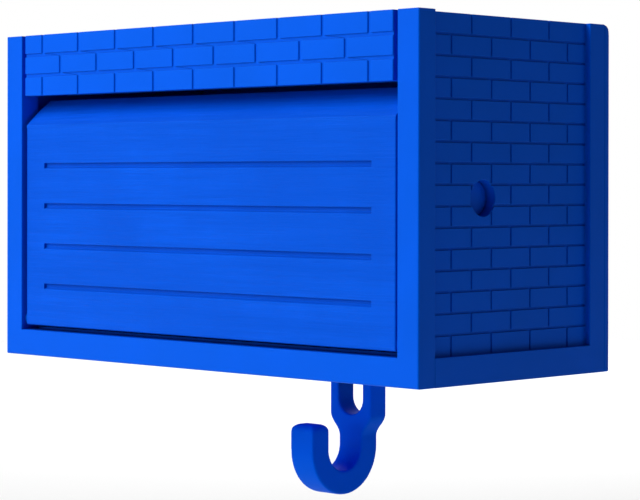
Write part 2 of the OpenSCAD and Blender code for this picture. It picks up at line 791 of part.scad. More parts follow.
module hook_washers() {
    color(STEEL) for (d = [bolt_head_d, ear_d1 + bracket_t]) difference() {
        rod_y(0, hook_axis_h, d, d + washer_t, hook_bolt_d);
        rod_y(0, hook_axis_h, d - 1, d + washer_t + 1, hook_bolt_d / 2 + fixed_gap);
    }
}

module hook_nut() {
    color(STEEL) difference() {
        translate([0, y_at(bolt_end_d - 0.5), z_at(hook_axis_h)]) rotate([90, 0, 0])
            cylinder(h = nut_t, r = hook_bolt_d * 0.92, $fn = 6);
        rod_y(0, hook_axis_h, bolt_end_d - 20, bolt_end_d + 1, hook_bolt_d / 2 + fixed_gap);
    }
}

// The hook seen from the front: eye, narrowing neck and shank
flare_steps = 14;
function flare_pt(side, t) = let (w = eye_r + (shank_w / 2 - eye_r) * (0.5 - 0.5 * cos(180 * t)))
    [side * w, -slot_low - flare_h * t];

module hook_front_2d() {
    difference() {
        union() {
            translate([0, hook_axis_h]) circle(r = eye_r);
            polygon(concat(
                [[-eye_r, hook_axis_h]],
                [for (k = [0 : flare_steps]) flare_pt(-1, k / flare_steps)],
                [[-shank_w / 2, -bend_low], [shank_w / 2, -bend_low]],
                [for (k = [flare_steps : -1 : 0]) flare_pt(1, k / flare_steps)],
                [[eye_r, hook_axis_h]]
            ));
        }
        translate([0, hook_axis_h]) circle(d = eye_slot_w);
        translate([0, eye_slot_w / 2 - slot_low]) circle(d = eye_slot_w);
        translate([-eye_slot_w / 2, eye_slot_w / 2 - slot_low])
            square([eye_slot_w, hook_axis_h - eye_slot_w / 2 + slot_low]);
    }
}

// The bend and the tip seen from the side
tip_d = hook_at_d - throat - hook_t;
bend_d = hook_at_d - bend_r;
module hook_side_2d() {
    difference() {
        translate([bend_d, -bend_low]) circle(r = bend_r + hook_t);
        translate([bend_d, -bend_low]) circle(r = bend_r);
        translate([bend_d - throat - hook_t, -bend_low]) square(2 * (throat + hook_t));
    }
    translate([tip_d, -bend_low]) square([hook_t, bend_low - tip_low - tip_r]);
    translate([tip_d + tip_r, -bend_low]) square([hook_t - 2 * tip_r, bend_low - tip_low]);
    for (d = [tip_d + tip_r, tip_d + hook_t - tip_r]) translate([d, -tip_low - tip_r]) circle(r = tip_r);
}

module hook() {
    color(BLUE) difference() {
        union() {
            prism_y(hook_at_d, hook_back_d) hook_front_2d();
            prism_x(-shank_w / 2, shank_w / 2) hook_side_2d();
        }
        // The tip's upper corners, seen from the front
        both() prism_y(tip_d - 1, bend_d) translate([shank_w / 2, -tip_low]) fillet_2d(tip_r);
    }
}

front_frame();
header_panel();
header_screws();
side_panel_left();
side_panel_right();
frame_screws();
back_plate();
back_screws();
roof_panel();
roof_screws();
floor_pan();
floor_screws();
rain_flap();
flap_rod();
door_panel();
hinge_pins();
hinge_bushes();
catch_magnets();
catch_plates();
door_bumpers();
bolt_strike();
strike_screws();
push_bolt();
bolt_spring();
bolt_housing();
housing_screws();
hook_bracket();
bracket_screws();
bracket_nuts();
hook_bush();
hook_bolt();
hook_washers();
hook_nut();
hook();
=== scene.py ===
# %% [markdown]
# # A wall post box with a hook
#
# The box arrives as a finished mechanical model: every piece is already the right size and in the
# right place, and every hinge is already set. This lesson only gives it its looks. It sets a camera
# and soft lights, builds a material for every finish, softens the edges of the pieces, and winds a
# real spring.

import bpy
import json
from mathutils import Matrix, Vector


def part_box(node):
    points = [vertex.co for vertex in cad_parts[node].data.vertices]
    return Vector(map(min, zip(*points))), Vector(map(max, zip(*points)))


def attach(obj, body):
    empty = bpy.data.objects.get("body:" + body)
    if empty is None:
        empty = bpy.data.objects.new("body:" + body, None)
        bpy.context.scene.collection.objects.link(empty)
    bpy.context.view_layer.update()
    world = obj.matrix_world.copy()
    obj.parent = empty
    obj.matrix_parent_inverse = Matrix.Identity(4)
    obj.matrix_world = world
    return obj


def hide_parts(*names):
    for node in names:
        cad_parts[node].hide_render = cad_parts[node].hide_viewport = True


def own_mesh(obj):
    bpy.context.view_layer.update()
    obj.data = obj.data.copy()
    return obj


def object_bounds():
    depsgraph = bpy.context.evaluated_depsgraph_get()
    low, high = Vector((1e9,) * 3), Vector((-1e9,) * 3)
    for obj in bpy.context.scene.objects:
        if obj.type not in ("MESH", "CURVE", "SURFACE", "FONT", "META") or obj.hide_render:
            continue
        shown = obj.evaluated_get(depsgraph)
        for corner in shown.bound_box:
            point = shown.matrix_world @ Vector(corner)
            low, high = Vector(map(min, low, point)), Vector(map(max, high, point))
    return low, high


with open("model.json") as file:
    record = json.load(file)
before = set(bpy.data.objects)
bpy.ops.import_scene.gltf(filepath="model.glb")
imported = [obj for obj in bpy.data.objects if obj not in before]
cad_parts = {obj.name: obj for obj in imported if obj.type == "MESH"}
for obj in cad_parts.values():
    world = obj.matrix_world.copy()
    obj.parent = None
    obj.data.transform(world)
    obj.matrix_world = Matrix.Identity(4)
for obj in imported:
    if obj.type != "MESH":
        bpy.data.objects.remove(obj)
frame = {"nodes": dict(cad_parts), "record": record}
record = frame["record"]
cad_low, cad_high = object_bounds()
print("mechanical model:", [round(v, 4) for v in cad_high - cad_low], "m")

# %% Tools used all through
import json
import math

import bmesh
import bpy
from mathutils import Vector
from mathutils.bvhtree import BVHTree
from mathutils.geometry import delaunay_2d_cdt

MM = 0.001
scene = bpy.context.scene


def mesh_object(name, mesh, body):
    """Puts a new piece into the scene, riding on a body of the box."""
    piece = bpy.data.objects.new(name, mesh)
    scene.collection.objects.link(piece)
    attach(piece, body)
    return piece


# %% [markdown]
# ## The camera
#
# The box is seen from its front right corner, level with it, from a little over a metre and a half
# away. The camera is kept level so that every upright edge stays parallel, and the picture is framed
# with a small shift of the lens, the way an architect's camera does it. Tilting the camera would be
# simpler, but it makes upright edges lean.

# %% Camera
camera_data = bpy.data.cameras.new("camera")
camera = bpy.data.objects.new("camera", camera_data)
scene.collection.objects.link(camera)
camera.location = (1.0874, -1.1707, 0.0103)
camera.rotation_euler = (math.radians(90 - 0.22), math.radians(-0.08), math.radians(44.57))
camera_data.lens = 125.07
camera_data.sensor_width = 36
camera_data.shift_y = -0.094
camera_data.clip_start = 0.05
camera_data.clip_end = 50
scene.camera = camera
scene.view_settings.view_transform = "Standard"
print("camera at", tuple(round(v, 3) for v in camera.location))

# %% [markdown]
# ## Light and floor
#
# The light is soft and comes from the front left, so the front faces are bright and the right side
# falls into shade. Large area lamps give soft shadows, and a weak one at the slot's own height
# reaches in under the header. A pale floor lies below the hook. A plain white world fills the rest of
# the shade. It looks fully white to the camera but shines only dimly on the box, because a bright
# world would wash the shade out.

# %% Floor and world
FLOOR_GAP = 0.30
AMBIENT = 0.07
BACKDROP = 1.0

floor_mesh = bpy.data.meshes.new("studio_floor")
floor_corners = [(-4.6, -6, 0), (6, -6, 0), (6, 4.7, 0), (-4.6, 4.7, 0)]
floor_mesh.from_pydata(floor_corners, [], [(0, 1, 2, 3)])
floor = bpy.data.objects.new("studio_floor", floor_mesh)
scene.collection.objects.link(floor)
floor.location.z = cad_low.z - FLOOR_GAP

world = bpy.data.worlds.new("pale_studio")
scene.world = world
world.use_nodes = True
world_nodes = world.node_tree
background = world_nodes.nodes["Background"]
background.inputs["Color"].default_value = (1.0, 1.0, 1.0, 1)
looked_at = world_nodes.nodes.new("ShaderNodeLightPath")
brightness = world_nodes.nodes.new("ShaderNodeMapRange")
brightness.inputs["To Min"].default_value = AMBIENT
brightness.inputs["To Max"].default_value = BACKDROP
world_nodes.links.new(looked_at.outputs["Is Camera Ray"], brightness.inputs["Value"])
world_nodes.links.new(brightness.outputs[0], background.inputs["Strength"])


# %% Lamps
def area_lamp(name, place, target, size, power):
    """A rectangular lamp of the given size in metres and power in watts, turned to its target."""
    lamp_data = bpy.data.lights.new(name, "AREA")
    lamp_data.shape = "RECTANGLE"
    lamp_data.size, lamp_data.size_y = size
    lamp_data.energy = power
    lamp = bpy.data.objects.new(name, lamp_data)
    scene.collection.objects.link(lamp)
    lamp.location = place
    aim = Vector(target) - Vector(place)
    lamp.rotation_euler = aim.to_track_quat("-Z", "Y").to_euler()


middle = (cad_low + cad_high) / 2
right_wall = (cad_high.x, middle.y, middle.z)
area_lamp("key_front_left", place=(-1.0, -2.1, 1.7), target=middle, size=(2.2, 2.2), power=73)
area_lamp("low_fill", place=(-0.7, -2.3, 0.0), target=middle, size=(1.4, 0.6), power=8)
area_lamp("floor_wash", place=(-3.0, 3.4, 2.6), target=(-3.2, 3.6, 0), size=(4.5, 4.5), power=210)
area_lamp("side_graze", place=(1.6, 0.9, 0.15), target=right_wall, size=(0.8, 0.8), power=1.2)

# %% [markdown]
# ## Effects that several finishes share
#
# Real plastic and metal are never one flat colour. Five small effects do most of the work here: a
# fine grain left by the mould, soft patches where the colour drifts, long streaks left by brushing,
# edges that handling has rubbed paler, and shade painted into the joints that light hardly reaches.
# They are made by four node groups with their own inputs, each built once, so that every material can
# use them at its own strength.


# %% A helper that wires nodes together
class Net:
    """A node tree with short words for adding and linking nodes."""

    def __init__(self, tree):
        self.tree = tree

    def add(self, kind, **values):
        node = self.tree.nodes.new(kind)
        for key, value in values.items():
            setattr(node, key, value)
        return node

    def link(self, a, b):
        self.tree.links.new(a, b)

    def math(self, operation, a, b, clamp=False):
        node = self.add("ShaderNodeMath", operation=operation, use_clamp=clamp)
        for socket, value in zip(node.inputs, (a, b)):
            if isinstance(value, (int, float)):
                socket.default_value = value
            else:
                self.link(value, socket)
        return node.outputs[0]

    def noise(self, vector, scale, detail):
        """A noise whose scale is a number or another node's output."""
        node = self.add("ShaderNodeTexNoise")
        node.inputs["Detail"].default_value = detail
        self.link(vector, node.inputs["Vector"])
        if isinstance(scale, (int, float)):
            node.inputs["Scale"].default_value = scale
        else:
            self.link(scale, node.inputs["Scale"])
        return node


def new_group(name, inputs, outputs):
    """A shader node group; inputs are (name, default) and outputs are names, all of them numbers."""
    group = bpy.data.node_groups.new(name, "ShaderNodeTree")
    for label, default in inputs:
        socket = group.interface.new_socket(label, in_out="INPUT", socket_type="NodeSocketFloat")
        socket.default_value = default
    for label in outputs:
        group.interface.new_socket(label, in_out="OUTPUT", socket_type="NodeSocketFloat")
    net = Net(group)
    return group, net, net.add("NodeGroupInput").outputs, net.add("NodeGroupOutput").inputs


# %% [markdown]
# ### Moulded grain
#
# A mould that has been etched leaves a grain of fine, rounded dimples, about a third of a millimetre
# across. Two noises of different size, added together, look more natural than one. A third and much
# larger noise gives a mask for the slow drift in colour that thick plastic shows as it cools.

# %% Group: moulded grain
COARSE_TO_FINE = 0.31

grain_group, net, given, result = new_group(
    "moulded_grain",
    inputs=[("Grain per metre", 2600.0), ("Drift per metre", 14.0)],
    outputs=["Height", "Drift"],
)
place = net.add("ShaderNodeTexCoord").outputs["Object"]
fine = net.noise(place, given["Grain per metre"], detail=2)
coarse_scale = net.math("MULTIPLY", given["Grain per metre"], COARSE_TO_FINE)
coarse = net.noise(place, coarse_scale, detail=1)
drift = net.noise(place, given["Drift per metre"], detail=3)
fine_share = net.math("MULTIPLY", fine.outputs[0], 0.6)
coarse_share = net.math("MULTIPLY", coarse.outputs[0], 0.4)
net.link(net.math("ADD", fine_share, coarse_share), result["Height"])
net.link(drift.outputs[0], result["Drift"])
print("group:", grain_group.name)

# %% [markdown]
# ### Long streaks
#
# A brushed surface, and one laid down line by line, both show long thin streaks in one direction.
# Squeezing the coordinates of a noise along one axis draws it out into streaks. A slow second noise
# bends the lines a little, so that they wander like real ones.

# %% Group: long streaks
BROAD_TO_LINES = 0.22

streak_group, net, given, result = new_group(
    "long_streaks",
    inputs=[("Lines per metre", 900.0), ("Length", 0.02), ("Wander", 0.0012)],
    outputs=["Height", "Tone"],
)
place = net.add("ShaderNodeTexCoord").outputs["Object"]
bend = net.noise(place, 22, detail=2)
parts = net.add("ShaderNodeSeparateXYZ")
net.link(place, parts.inputs[0])
squeezed = net.add("ShaderNodeCombineXYZ")
for axis in ("X", "Y"):
    net.link(net.math("MULTIPLY", parts.outputs[axis], given["Length"]), squeezed.inputs[axis])
wandering = net.math("MULTIPLY", bend.outputs[0], given["Wander"])
net.link(net.math("ADD", parts.outputs["Z"], wandering), squeezed.inputs["Z"])
lines = net.noise(squeezed.outputs[0], given["Lines per metre"], detail=4)
lines.inputs["Roughness"].default_value = 0.65
broad_scale = net.math("MULTIPLY", given["Lines per metre"], BROAD_TO_LINES)
broad = net.noise(squeezed.outputs[0], broad_scale, detail=2)
both_lines = net.math("ADD", lines.outputs[0], broad.outputs[0])
net.link(lines.outputs[0], result["Height"])
net.link(net.math("MULTIPLY", both_lines, 0.5), result["Tone"])
print("group:", streak_group.name)

# %% [markdown]
# ### Rubbed edges
#
# Hands and letters rub the corners of a box first. Pointiness would find them, but it is kept at the
# mesh's corners and smears across large flat faces. A Bevel node looks at the shape itself: near an
# edge its rounded normal leans away from the face's own normal, and the gap between the two is the
# mask. A noise breaks the mask up.

# %% Group: rubbed edges
LEAN_GAIN = 5.0
PATCH_GAIN = 1.5

edge_group, net, given, result = new_group(
    "rubbed_edges",
    inputs=[("Width", 0.0012), ("Patchiness", 60.0)],
    outputs=["Mask"],
)
rounded = net.add("ShaderNodeBevel", samples=4)
net.link(given["Width"], rounded.inputs["Radius"])
facing = net.add("ShaderNodeVectorMath", operation="DOT_PRODUCT")
net.link(rounded.outputs[0], facing.inputs[0])
net.link(net.add("ShaderNodeNewGeometry").outputs["True Normal"], facing.inputs[1])
gap = net.math("SUBTRACT", 1.0, facing.outputs["Value"])
leaning = net.math("MULTIPLY", gap, LEAN_GAIN, clamp=True)
place = net.add("ShaderNodeTexCoord").outputs["Object"]
patches = net.noise(place, given["Patchiness"], detail=3)
patchy = net.math("MULTIPLY", patches.outputs[0], PATCH_GAIN, clamp=True)
net.link(net.math("MULTIPLY", leaning, patchy, clamp=True), result["Mask"])
print("group:", edge_group.name)

# %% [markdown]
# ### Painted shade in the joints
#
# Light has trouble reaching the bottom of a narrow joint, so this group paints shade into the colour
# there. An Ambient Occlusion node sends short rays out from each point and tells how closed in it is.
# It works only over a few millimetres here, so it paints shade into the mortar joints, the grooves
# and the gap round the door and leaves the open faces alone. On the thick hook it is given a longer
# reach, so that it also paints shade into the eye and the bend.

# %% Group: painted shade in the joints
painted_shade_group, net, given, result = new_group(
    "painted_joint_shade",
    inputs=[("Reach", 0.005), ("Start", 0.55), ("Full", 0.95)],
    outputs=["Mask"],
)
closed = net.add("ShaderNodeAmbientOcclusion", samples=8)
net.link(given["Reach"], closed.inputs["Distance"])
open_share = net.add("ShaderNodeMapRange")
net.link(closed.outputs["AO"], open_share.inputs["Value"])
net.link(given["Start"], open_share.inputs["From Min"])
net.link(given["Full"], open_share.inputs["From Max"])
open_share.inputs["To Min"].default_value = 1
open_share.inputs["To Max"].default_value = 0
net.link(open_share.outputs[0], result["Mask"])
print("group:", painted_shade_group.name)


# %% [markdown]
# ### Putting the effects into a finish
#
# Every finish below is a Principled BSDF with the same few steps in front of it: the base colour
# drifts a little, the edges turn paler, the roughness follows the grain, and a Bump node turns the
# grain into relief. One recipe with different numbers keeps them all consistent.


# %% Small steps of the recipe
def group_node(net, group, **values):
    """A use of a node group; the values are its inputs, with _ for each space in a name."""
    node = net.add("ShaderNodeGroup")
    node.node_tree = group
    for key, value in values.items():
        node.inputs[key.replace("_", " ")].default_value = value
    return node


def mix_colour(net, factor, a, b):
    node = net.add("ShaderNodeMix", data_type="RGBA")
    net.link(factor, node.inputs["Factor"])
    for socket, value in ((node.inputs["A"], a), (node.inputs["B"], b)):
        if isinstance(value, tuple):
            socket.default_value = (*value, 1)
        else:
            net.link(value, socket)
    return node.outputs["Result"]


def ramp(net, value, low, high, to_low, to_high):
    node = net.add("ShaderNodeMapRange")
    net.link(value, node.inputs["Value"])
    labels = ("From Min", "From Max", "To Min", "To Max")
    for label, number in zip(labels, (low, high, to_low, to_high)):
        node.inputs[label].default_value = number
    return node.outputs[0]


def relief_bump(net, height, depth):
    node = net.add("ShaderNodeBump")
    node.inputs["Strength"].default_value = 1
    node.inputs["Distance"].default_value = depth
    net.link(height, node.inputs["Height"])
    return node


# %% The recipe that every finish follows
WEAR = 0.5
# How dark the painted shade in a joint is, as a share of the drifted colour.
PAINTED_SHADE_SCALE = 0.2


def finish_material(name, colour, drifted, rubbed, rough, grain, grain_relief, streaks=None,
                    metallic=0.0, specular=0.5, tint=(1.0, 1.0, 1.0), shade=0.0, reach=0.005):
    """A material whose colour drifts to drifted and is rubbed paler at its edges.

    rough is the lowest and highest roughness, and grain_relief the depth of the grain in metres.
    streaks is the lines per metre, their squeeze, how much they colour and their depth in metres.
    shade is how much painted shade darkens the colour in a joint, and reach how wide such a joint may
    be."""
    material = bpy.data.materials.new(name)
    material.use_nodes = True
    net = Net(material.node_tree)
    shader = material.node_tree.nodes["Principled BSDF"]
    shader.inputs["Specular IOR Level"].default_value = specular
    shader.inputs["Specular Tint"].default_value = (*tint, 1)
    shader.inputs["Metallic"].default_value = metallic
    grained = group_node(net, grain_group, Grain_per_metre=grain)
    base = mix_colour(net, ramp(net, grained.outputs["Drift"], 0.3, 0.7, 0, 1), colour, drifted)
    rough_from = grained.outputs["Height"]
    bump = relief_bump(net, grained.outputs["Height"], grain_relief)
    if streaks:
        lines_per_metre, squeeze, coloured, line_relief = streaks
        streaked = group_node(net, streak_group, Lines_per_metre=lines_per_metre, Length=squeeze)
        tone = streaked.outputs["Tone"]
        base = mix_colour(net, ramp(net, tone, 0.35, 0.65, 0, coloured), base, drifted)
        rough_from = tone
        grain_bump = bump
        bump = relief_bump(net, streaked.outputs["Height"], line_relief)
        net.link(grain_bump.outputs[0], bump.inputs["Normal"])
    rubbed_mask = group_node(net, edge_group).outputs["Mask"]
    base = mix_colour(net, net.math("MULTIPLY", rubbed_mask, WEAR), base, rubbed)
    # Painted shade: where ambient occlusion finds a narrow joint, the colour is darkened towards a
    # dark blue.
    if shade:
        painted_shade_mask = group_node(net, painted_shade_group, Reach=reach).outputs["Mask"]
        painted_shade_colour = tuple(channel * PAINTED_SHADE_SCALE for channel in drifted)
        base = mix_colour(net, net.math("MULTIPLY", painted_shade_mask, shade), base, painted_shade_colour)
    net.link(base, shader.inputs["Base Color"])
    net.link(ramp(net, rough_from, 0.3, 0.7, *rough), shader.inputs["Roughness"])
    net.link(bump.outputs[0], shader.inputs["Normal"])
    return material


# %% [markdown]
# ## The finishes
#
# The case, the door, the hook and the button are all moulded in the same strong blue. They differ in
# how their surface was left: the case has a fine etched grain, the door is brushed across, and the
# hook and the button are smoother. Each table below holds only what differs. A glossy plastic would
# reflect the white room as a milky veil, so the blue ones reflect little, and what they do reflect is
# tinted.

# %% Blue plastics
BLUE = (0.0, 0.112, 0.86)
BLUE_DEEP = (0.0, 0.105, 0.78)
BLUE_PALE = (0.0, 0.17, 0.93)
TINT = (0.0, 0.25, 1.0)
# Satin blue plastics: a low tinted reflection, and a little painted shade in their joints.
SATIN = {"rubbed": BLUE_PALE, "tint": TINT, "specular": 0.2, "shade": 0.25}

finishes = {
    "case_plastic": finish_material(
        "case_plastic", BLUE, BLUE_DEEP, rough=(0.50, 0.62), grain=2600, grain_relief=0.00006,
        **SATIN),
    "door_plastic": finish_material(
        "door_plastic", BLUE, (0.0, 0.088, 0.70), rough=(0.46, 0.62), grain=3200,
        grain_relief=0.00004, streaks=(620, 0.03, 1.0, 0.00055), **SATIN),
    # The hook gets stronger painted shade, which reaches into its eye and its bend.
    "hook_plastic": finish_material(
        "hook_plastic", BLUE, BLUE_DEEP, BLUE_PALE, rough=(0.48, 0.60), grain=2200,
        grain_relief=0.00003, specular=0.03, tint=TINT, shade=0.7, reach=0.022),
    "button_plastic": finish_material(
        "button_plastic", BLUE, BLUE_DEEP, rough=(0.38, 0.50), grain=2600, grain_relief=0.00003,
        **SATIN),
    "inner_plastic": finish_material(
        "inner_plastic", (0.0, 0.08, 0.55), (0.0, 0.07, 0.48), rough=(0.5, 0.62), grain=2600,
        grain_relief=0.00006, **SATIN),
}

# %% Metals, nylon, rubber and ferrite
finishes.update({
    "steel_rod": finish_material(
        "steel_rod", (0.60, 0.61, 0.62), (0.50, 0.51, 0.53), (0.8, 0.8, 0.8), rough=(0.24, 0.40),
        grain=4000, grain_relief=0.00001, streaks=(2400, 0.05, 0.7, 0.00003), metallic=1.0),
    "spring_steel": finish_material(
        "spring_steel", (0.50, 0.51, 0.53), (0.38, 0.39, 0.42), (0.7, 0.7, 0.7), rough=(0.28, 0.42),
        grain=5000, grain_relief=0.00001, streaks=(3000, 0.2, 0.6, 0.00002), metallic=1.0),
    "zinc_plate": finish_material(
        "zinc_plate", (0.55, 0.57, 0.60), (0.44, 0.47, 0.52), (0.75, 0.76, 0.76),
        rough=(0.30, 0.50), grain=1800, grain_relief=0.00003, streaks=(1500, 0.1, 0.5, 0.00002),
        metallic=1.0),
    "zinc_screws": finish_material(
        "zinc_screws", (0.60, 0.60, 0.58), (0.56, 0.52, 0.40), (0.8, 0.8, 0.78),
        rough=(0.26, 0.44), grain=3200, grain_relief=0.00002, streaks=(3000, 0.3, 0.4, 0.00001),
        metallic=1.0),
    "white_nylon": finish_material(
        "white_nylon", (0.88, 0.88, 0.84), (0.82, 0.82, 0.76), (0.93, 0.93, 0.90),
        rough=(0.36, 0.50), grain=2400, grain_relief=0.00003, streaks=(1500, 0.1, 0.4, 0.00004)),
    "black_rubber": finish_material(
        "black_rubber", (0.03, 0.03, 0.03), (0.05, 0.05, 0.05), (0.10, 0.10, 0.10),
        rough=(0.70, 0.88), grain=1800, grain_relief=0.00008),
    "magnet_ferrite": finish_material(
        "magnet_ferrite", (0.09, 0.09, 0.10), (0.06, 0.06, 0.07), (0.20, 0.20, 0.20),
        rough=(0.55, 0.75), grain=1600, grain_relief=0.00008),
})
print("finishes:", len(finishes))

# %% The studio floor
floor_finish = bpy.data.materials.new("studio_floor")
floor_finish.use_nodes = True
floor_shader = floor_finish.node_tree.nodes["Principled BSDF"]
floor_shader.inputs["Base Color"].default_value = (0.92, 0.92, 0.92, 1)
floor_shader.inputs["Roughness"].default_value = 0.8
floor_mesh.materials.append(floor_finish)

# %% [markdown]
# ## Every piece of the mechanical model gets its finish
#
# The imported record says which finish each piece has, so one loop is enough.

# %% Assign the finishes
slot_of = {part["node"]: part["material_slot"] for part in record["subparts"]}
for name, node in frame["nodes"].items():
    node.data.materials.clear()
    node.data.materials.append(finishes[slot_of[name]])
print("pieces with a finish:", len(frame["nodes"]))

# %% [markdown]
# ## Soft edges
#
# No moulded edge is perfectly sharp: the mould's own corners are rounded, and a thin line of light
# runs along every edge. A bevel shader would fake that, but only in the picture. Here each piece is
# copied and a Bevel modifier rounds its outer edges fully and its inside corners a little. The copy
# stands for the mechanical piece, which stays hidden.
#
# The mechanical pieces are made of long thin triangles. Rounding the edges moves their corners
# inwards, and the thinnest triangles fold over. So each flat region is numbered first, and filled
# again afterwards if it has a fold.

# %% Number the flat regions
SAME_FLAT = 0.999995


def mark_flats(work):
    """Numbers each flat region of the mesh and returns the regions' directions."""
    layer = work.faces.layers.int.new("flat")
    for face in work.faces:
        face[layer] = -1
    directions = []
    for seed in work.faces:
        if seed[layer] >= 0:
            continue
        seed[layer] = len(directions)
        waiting = [seed]
        while waiting:
            for edge in waiting.pop().edges:
                for other in edge.link_faces:
                    if other[layer] < 0 and other.normal.dot(seed.normal) > SAME_FLAT:
                        other[layer] = len(directions)
                        waiting.append(other)
        directions.append(seed.normal.copy())
    return directions


# %% [markdown]
# A Delaunay triangulation connects the corners of a region with the most even triangles it can. It
# fills the holes too, so each triangle is kept only if its centre lies inside the region's rim.

# %% Fill the folded regions again
STILL_FLAT = 0.99
NO_AREA = 1e-12
MM_PER_METRE = 1000
WHOLE_HULL = 0
SAME_POINT = 0.00001


def inside_rim(point, corners, pairs):
    """Whether a line from the point to the right crosses the rim an odd number of times."""
    crossings = 0
    for a, b in ((corners[i], corners[j]) for i, j in pairs):
        if (a.y > point.y) != (b.y > point.y):
            crossings += point.x < a.x + (b.x - a.x) * (point.y - a.y) / (b.y - a.y)
    return crossings % 2 == 1


def fill_flat(work, faces, direction, number):
    """Replaces the faces of one flat region by an even filling of its rim.

    The edges and corners are sorted, because a set keeps no fixed order from one run to the next."""
    layer = work.faces.layers.int["flat"]
    work.edges.index_update()
    work.verts.index_update()
    inside = set(faces)
    edges = sorted({edge for face in faces for edge in face.edges}, key=lambda edge: edge.index)
    rim = [edge for edge in edges if any(face not in inside for face in edge.link_faces)]
    corners = sorted({corner for edge in rim for corner in edge.verts}, key=lambda c: c.index)
    place = {corner: k for k, corner in enumerate(corners)}
    pairs = [tuple(place[corner] for corner in edge.verts) for edge in rim]
    across = direction.orthogonal().normalized()
    along = direction.cross(across)
    height = corners[0].co.dot(direction)
    flat = [Vector((corner.co.dot(across), corner.co.dot(along))) * MM_PER_METRE for corner in corners]
    found, _, triangles, from_corners, _, _ = delaunay_2d_cdt(flat, pairs, [], WHOLE_HULL, SAME_POINT)
    points = []
    for point, sources in zip(found, from_corners):
        if sources:
            points.append(corners[sources[0]])
        else:
            spot = (across * point.x + along * point.y) / MM_PER_METRE
            points.append(work.verts.new(spot + direction * height))
    bmesh.ops.delete(work, geom=faces, context="FACES_ONLY")
    for triangle in triangles:
        centre = sum((found[k] for k in triangle), Vector((0, 0))) / 3
        if not inside_rim(centre, flat, pairs):
            continue
        ends = [points[k] for k in triangle]
        if len(set(ends)) == 3 and not work.faces.get(ends):
            face = work.faces.new(ends)
            face.normal_update()
            if face.normal.dot(direction) < 0:
                face.normal_flip()
            face[layer] = number


def refill_flats(work, directions):
    """Fills each flat region again where rounding its edges has folded a triangle over.

    The faces that the rounding made have the second material, and belong to no region."""
    layer = work.faces.layers.int["flat"]
    regions = {}
    for face in work.faces:
        if face.material_index == 0:
            regions.setdefault(face[layer], []).append(face)
    again = 0
    for number, faces in regions.items():
        direction = directions[number]
        if any(f.normal.dot(direction) <= STILL_FLAT and f.calc_area() >= NO_AREA for f in faces):
            fill_flat(work, faces, direction, number)
            again += 1
    loose = [edge for edge in work.edges if not edge.link_faces]
    bmesh.ops.delete(work, geom=loose, context="EDGES")
    return again


# %% [markdown]
# Where three or more edges meet at odd angles, rounding can throw a corner far off the piece. Every
# new corner should lie on the old surface or just under it, so one that has strayed is brought back
# to the nearest point on it.


# %% Bring strayed corners back
def bring_back(work, surface, reach):
    """Moves corners that lie further than reach from the old surface, or outside its box, to it."""
    old = bmesh.new()
    old.from_mesh(surface)
    tree = BVHTree.FromBMesh(old)
    low = [min(corner.co[k] for corner in old.verts) for k in range(3)]
    high = [max(corner.co[k] for corner in old.verts) for k in range(3)]
    old.free()
    strayed = 0
    for corner in work.verts:
        nearest, _, _, distance = tree.find_nearest(corner.co)
        if distance > reach:
            corner.co = nearest
            strayed += 1
        corner.co = [min(max(corner.co[k], low[k]), high[k]) for k in range(3)]
    return strayed


# %% Copy a piece and round its edges
SEGMENTS = 2
SHARP_ANGLE = math.radians(30)
INSIDE_SHARE = 0.3
JOIN_WITHIN = 0.000002
TOO_SHORT = 0.000005
STRAYED_SHARE = 0.5


def prepared(source, name):
    """A cleaned copy of a mesh whose sharp edges are marked for rounding, and its flat directions.

    Inside corners get only a share of the width, so that they don't swallow a low relief."""
    mesh = bpy.data.meshes.new(name)
    work = bmesh.new()
    work.from_mesh(source)
    bmesh.ops.remove_doubles(work, verts=work.verts, dist=JOIN_WITHIN)
    bmesh.ops.dissolve_degenerate(work, dist=TOO_SHORT, edges=work.edges)
    directions = mark_flats(work)
    weight = work.edges.layers.float.new("bevel_weight_edge")
    for edge in work.edges:
        if edge.is_manifold and edge.calc_face_angle() > SHARP_ANGLE:
            edge[weight] = 1.0 if edge.is_convex else INSIDE_SHARE
    work.to_mesh(mesh)
    work.free()
    return mesh, directions


def rounded_mesh(piece, width):
    """The piece's mesh as a Bevel modifier leaves it, with the new faces in the second material."""
    bevel = piece.modifiers.new("round the edges", "BEVEL")
    bevel.width = width
    bevel.segments = SEGMENTS
    bevel.limit_method = "WEIGHT"
    bevel.use_clamp_overlap = False
    bevel.miter_outer = "MITER_ARC"
    bevel.material = 1
    evaluated = piece.evaluated_get(bpy.context.evaluated_depsgraph_get())
    beveled = bpy.data.meshes.new_from_object(evaluated)
    piece.modifiers.remove(bevel)
    return beveled


def softened(node_name, body, width):
    """Puts a copy of a mechanical piece, with its sharp edges rounded, in the piece's place."""
    source = frame["nodes"][node_name].data
    mesh, directions = prepared(source, node_name + "_soft")
    for _ in range(2):
        mesh.materials.append(finishes[slot_of[node_name]])
    piece = mesh_object(node_name + "_soft", mesh, body)
    work = bmesh.new()
    work.from_mesh(rounded_mesh(piece, width))
    strayed = bring_back(work, source, STRAYED_SHARE * width)
    filled = refill_flats(work, directions)
    bmesh.ops.triangulate(work, faces=[face for face in work.faces if len(face.verts) > 4])
    for face in work.faces:
        face.smooth = True
        face.material_index = 0
    mesh.clear_geometry()
    work.to_mesh(mesh)
    work.free()
    mesh.materials.pop()
    flat = piece.modifiers.new("keep flat faces flat", "WEIGHTED_NORMAL")
    flat.keep_sharp = False
    flat.weight = 100
    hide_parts(node_name)
    print(f"{node_name}: {len(mesh.polygons)} faces, {filled} flats filled, {strayed} corners back")


# %% [markdown]
# The widths below are in millimetres. Large mouldings and the rubber bumpers are rounded most, and
# small screws least.

